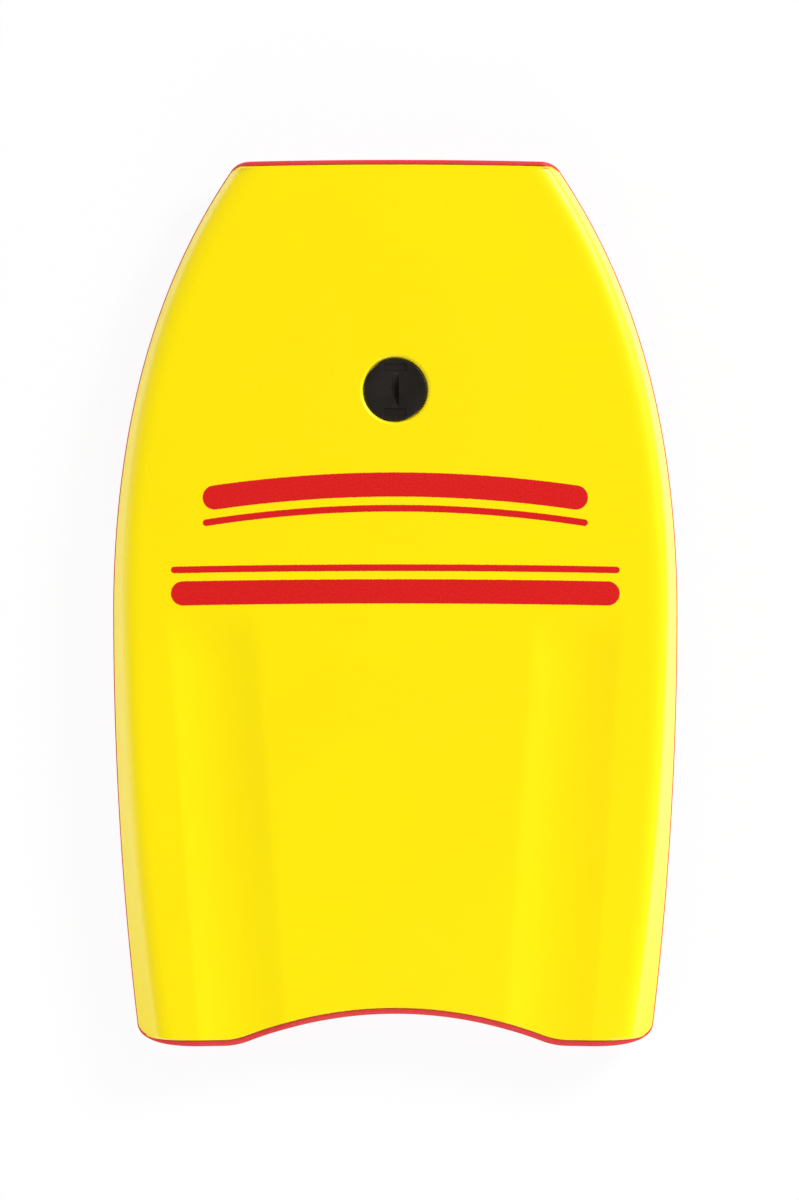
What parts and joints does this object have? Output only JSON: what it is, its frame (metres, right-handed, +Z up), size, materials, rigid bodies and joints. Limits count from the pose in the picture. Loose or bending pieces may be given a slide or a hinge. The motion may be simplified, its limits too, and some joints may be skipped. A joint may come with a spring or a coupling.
{
  "type": "nipper board",
  "caption": "Child's foam wave board with a crescent tail, arm grooves, bevelled chines, red edge strips and a screw-in leash plug.",
  "frame": {"origin": "on the floor under the middle of the board's length and width, with the board lying deck up", "axes": "+Y towards the nose, +Z up out of the deck, +X to the rider's right"},
  "size_m": [0.42, 0.66, 0.0459],
  "materials": {
    "core_foam": "matte",
    "deck_foam": "satin",
    "slick_sheet": "satin",
    "edge_foam": "matte",
    "plug_plastic": "matte",
    "washer_rubber": "matte"
  },
  "bodies": {
    "board": {"foam_core": "core_foam", "deck_skin": "deck_foam", "bottom_skin": "slick_sheet", "rail_skin_left": "edge_foam", "rail_skin_right": "edge_foam", "nose_strip": "edge_foam", "tail_strip": "edge_foam", "leash_plug_nut": "plug_plastic", "nut_washer": "washer_rubber"},
    "plug_washer": {"cap_washer": "washer_rubber"},
    "plug_cap": {"leash_plug_cap": "plug_plastic"}
  },
  "joints": [
    {"name": "plug_lift", "type": "slide", "parent": "board", "child": "plug_washer", "axis": [0, 0, 1], "range_m": [0, 0.022]},
    {"name": "plug_turn", "type": "hinge", "parent": "plug_washer", "child": "plug_cap", "pos_m": [0, 0.1582, 0.0444], "axis": [0, 0, 1], "range_deg": [0, 1980]}
  ],
  "couplings": [
    {"joint": "plug_lift", "follows": "plug_turn", "m_per_rad": 0.00063662}
  ]
}
